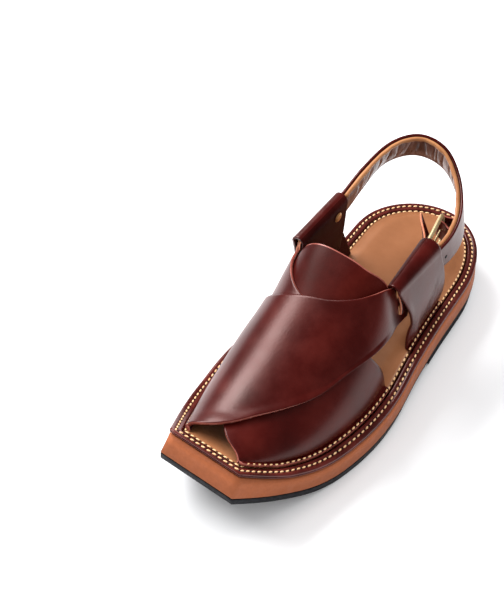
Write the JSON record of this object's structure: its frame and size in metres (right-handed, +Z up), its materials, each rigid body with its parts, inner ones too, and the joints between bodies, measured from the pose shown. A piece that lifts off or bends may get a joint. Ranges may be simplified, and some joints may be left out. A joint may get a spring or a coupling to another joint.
{
  "type": "peshawari chappal",
  "caption": "Left sandal in dark brown leather: two wide panels crossing over the foot, a buckled heel strap, and a tan wedge sole with a raised squared toe.",
  "frame": {"origin": "middle of the heel's tread, on the floor", "axes": "-Y towards the toe, +Y towards the heel, +X towards the outer side of the foot, +Z up"},
  "size_m": [0.1123, 0.2945, 0.1048],
  "materials": {
    "brown_leather": "polished, lightly creased",
    "tan_leather": "smooth, semi-matt",
    "tan_foam": "matt foam rubber",
    "black_rubber": "matt",
    "aged_brass": "worn polish"
  },
  "bodies": {
    "root": {"outsole": "black_rubber", "heel_block": "black_rubber", "midsole": "tan_foam", "welt": "brown_leather", "insole": "tan_leather", "upper": "brown_leather", "tongue": "brown_leather", "quarter_lateral": "brown_leather", "quarter_medial": "brown_leather", "heel_strap": "brown_leather", "strap_lining": "tan_leather", "strap_tail": "brown_leather", "buckle_frame": "aged_brass", "buckle_prong": "aged_brass", "rivet_medial": "aged_brass"}
  },
  "joints": []
}
